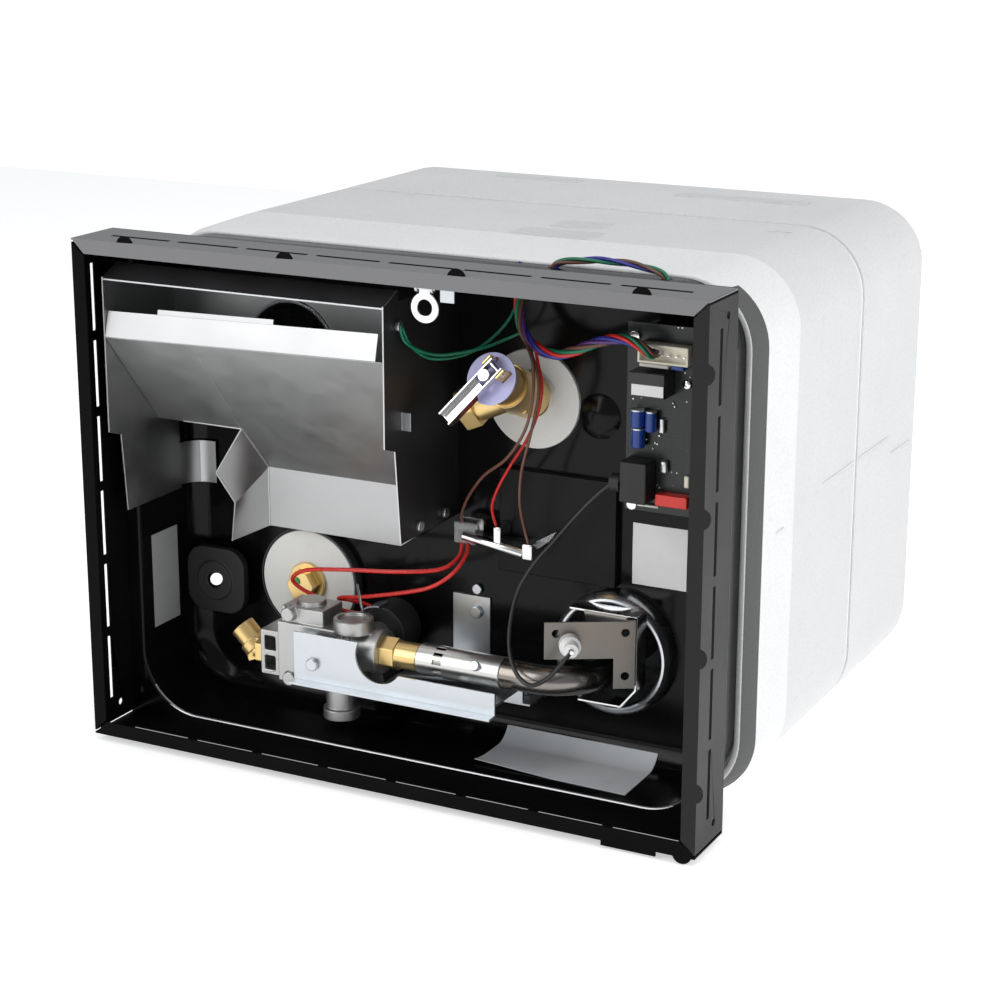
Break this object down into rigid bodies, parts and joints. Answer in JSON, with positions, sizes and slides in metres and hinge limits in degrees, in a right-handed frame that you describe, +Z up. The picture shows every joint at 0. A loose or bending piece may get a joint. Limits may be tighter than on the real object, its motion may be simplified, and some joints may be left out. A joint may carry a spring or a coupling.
{
  "type": "caravan water heater",
  "caption": "Boxy gas water heater for a caravan: a foam-jacketed tank behind an open black control pan with burner, flue box, relief valve and circuit board.",
  "frame": {"origin": "middle of the whole heater's footprint, on the surface it stands on", "axes": "+Z up, +X to the right seen from the front, -Y out of the open front, +Y towards the water couplings"},
  "size_m": [0.416, 0.426, 0.326],
  "materials": {
    "frame_paint": "black enamel on sheet steel",
    "pan_enamel": "glossy black enamel on drawn steel",
    "foam": "moulded bead foam",
    "white_band": "pale band in the foam seam",
    "aluminium": "tank and flue aluminium",
    "galvanised": "galvanised sheet",
    "zinc": "bright zinc plating",
    "stainless": "stainless steel",
    "chrome": "chrome plating",
    "brass": "turned brass",
    "cast_grey": "die-cast metal",
    "tag": "pale tag",
    "seal_foam": "white foam plug",
    "black_plastic": "black plastic",
    "black_rubber": "black rubber",
    "white_plastic": "white nylon",
    "ceramic": "glazed ceramic",
    "board": "dark circuit board",
    "blue_plastic": "blue sleeve",
    "red_plastic": "red plastic",
    "clear_sleeve": "clear sleeve on a metal fuse",
    "paper": "blank paper",
    "wire_purple": "twisted insulated wires",
    "wire_green": "green insulation",
    "wire_brown": "brown insulation",
    "wire_red": "red insulation",
    "wire_black": "black silicone lead"
  },
  "bodies": {
    "heater": {"front_pan": "pan_enamel", "frame_top": "frame_paint", "frame_bottom": "frame_paint", "frame_left": "frame_paint", "frame_right": "frame_paint", "jacket_front": "foam", "jacket_rear": "foam", "seam_tape": "white_band", "water_tank": "aluminium", "burner_flue": "aluminium", "exhaust_flue": "aluminium", "flue_collector": "aluminium", "water_couplings": "aluminium", "dip_tube": "white_plastic", "relief_body": "brass", "relief_spring": "stainless", "relief_tag": "tag", "lever_pin": "stainless", "port_seals": "seal_foam", "drain_plug": "brass", "gas_valve_body": "cast_grey", "valve_bracket": "zinc", "inlet_elbow": "brass", "solenoid_coils": "black_plastic", "solenoid_springs": "stainless", "gas_orifice": "brass", "burner_tube": "stainless", "electrode_plate": "stainless", "burner_frame": "galvanised", "electrode_insulator": "ceramic", "spark_electrode": "stainless", "support_strap": "zinc", "flue_box": "galvanised", "flue_deflector": "galvanised", "control_board": "board", "board_connector": "white_plastic", "board_relay": "black_plastic", "board_capacitors": "blue_plastic", "ignition_coil": "black_rubber", "board_fuse": "red_plastic", "board_posts": "zinc", "thermostat_cover": "black_rubber", "thermostats": "black_plastic", "thermal_fuse": "clear_sleeve", "gas_grommet": "black_rubber", "latch_bracket": "zinc", "panel_screws": "zinc", "labels": "paper", "harness": "wire_purple", "ground_leads": "wire_green", "sensor_leads": "wire_brown", "valve_leads": "wire_red", "ignition_lead": "wire_black", "top_leads": "wire_green"},
    "lever": {"relief_lever": "chrome"},
    "stem": {"relief_stem": "stainless"},
    "ring": {"latch_ring": "zinc"},
    "shutter": {"air_shutter": "stainless", "shutter_screw": "zinc"},
    "plungers": {"solenoid_plungers": "stainless"}
  },
  "joints": [
    {"name": "lever_lift", "type": "hinge", "parent": "heater", "child": "lever", "pos_m": [0.05921, -0.17267, 0.2624], "axis": [-0.7986, 0.2351, 0.554], "range_deg": [0, 75]},
    {"name": "stem_lift", "type": "slide", "parent": "heater", "child": "stem", "axis": [0, -0.9205, 0.3907], "range_m": [0, 0.005], "deforming": ["relief_spring"]},
    {"name": "ring_swing", "type": "hinge", "parent": "heater", "child": "ring", "pos_m": [0.028, -0.198, 0.31], "axis": [-1, 0, 0], "range_deg": [-8, 85]},
    {"name": "shutter_turn", "type": "hinge", "parent": "heater", "child": "shutter", "pos_m": [0.045, -0.161, 0.073], "axis": [1, 0, 0], "range_deg": [-30, 30]},
    {"name": "plunger_pull", "type": "slide", "parent": "heater", "child": "plungers", "axis": [0, 1, 0], "range_m": [0, 0.003], "stiffness_N_per_m": 150, "deforming": ["solenoid_springs"]}
  ],
  "couplings": [
    {"joint": "lever_lift", "follows": "stem_lift", "rad_per_m": 261.7}
  ]
}
